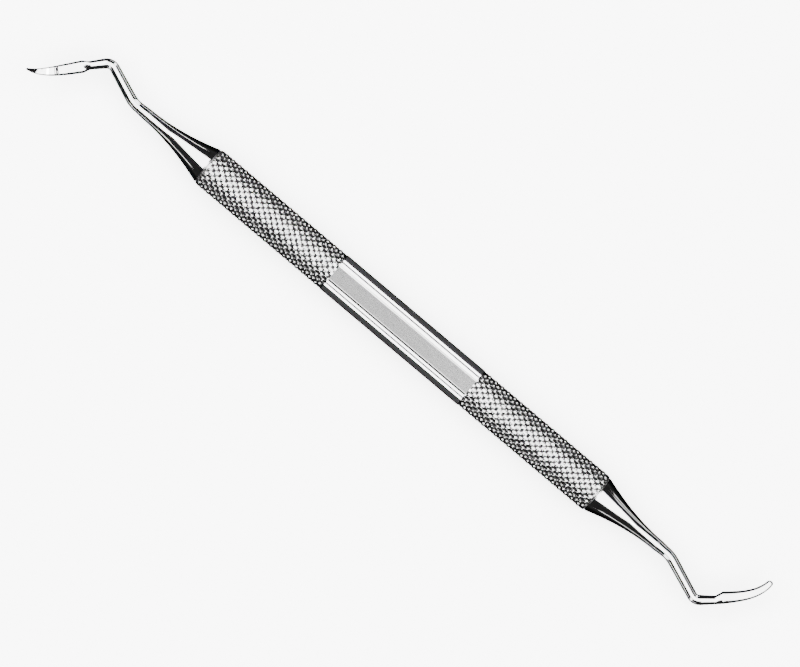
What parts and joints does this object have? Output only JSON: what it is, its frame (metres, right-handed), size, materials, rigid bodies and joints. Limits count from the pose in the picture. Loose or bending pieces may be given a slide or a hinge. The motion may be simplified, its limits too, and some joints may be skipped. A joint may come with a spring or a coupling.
{
  "type": "hand scaler",
  "caption": "Double-ended dental hand scaler: a knurled hollow steel handle with an identification flat, and curved screw-in working ends that scrape calculus off teeth.",
  "frame": {"origin": "on the handle's axis, at the middle of its length", "axes": "+X along the handle towards working end B, +Z the outward normal of the identification flat, +Y across the handle in the plane of the shanks' bends"},
  "size_m": [0.164, 0.0163, 0.008],
  "materials": {
    "handle_steel": "polished stainless steel, knurled grips, satin flat",
    "blade_steel": "mirror-polished hardened stainless steel",
    "socket_steel": "turned stainless steel",
    "seal_rubber": "matt silicone rubber"
  },
  "bodies": {
    "handle": {"handle_tube": "handle_steel", "socket_a": "socket_steel", "socket_b": "socket_steel"},
    "seal_a": {"seal_ring_a": "seal_rubber"},
    "end_a": {"working_end_a": "blade_steel"},
    "seal_b": {"seal_ring_b": "seal_rubber"},
    "end_b": {"working_end_b": "blade_steel"}
  },
  "joints": [
    {"name": "screw_travel_a", "type": "slide", "parent": "handle", "child": "seal_a", "axis": [-1, 0, 0], "range_m": [0, 0.00507]},
    {"name": "unscrew_a", "type": "hinge", "parent": "seal_a", "child": "end_a", "pos_m": [-0.0462, 0, 0], "axis": [-1, 0, 0], "range_deg": [0, 2610]},
    {"name": "screw_travel_b", "type": "slide", "parent": "handle", "child": "seal_b", "axis": [1, 0, 0], "range_m": [0, 0.00507]},
    {"name": "unscrew_b", "type": "hinge", "parent": "seal_b", "child": "end_b", "pos_m": [0.0462, 0, 0], "axis": [1, 0, 0], "range_deg": [0, 2610]}
  ],
  "couplings": [
    {"joint": "unscrew_a", "follows": "screw_travel_a", "rad_per_m": 8976},
    {"joint": "unscrew_b", "follows": "screw_travel_b", "rad_per_m": 8976}
  ]
}
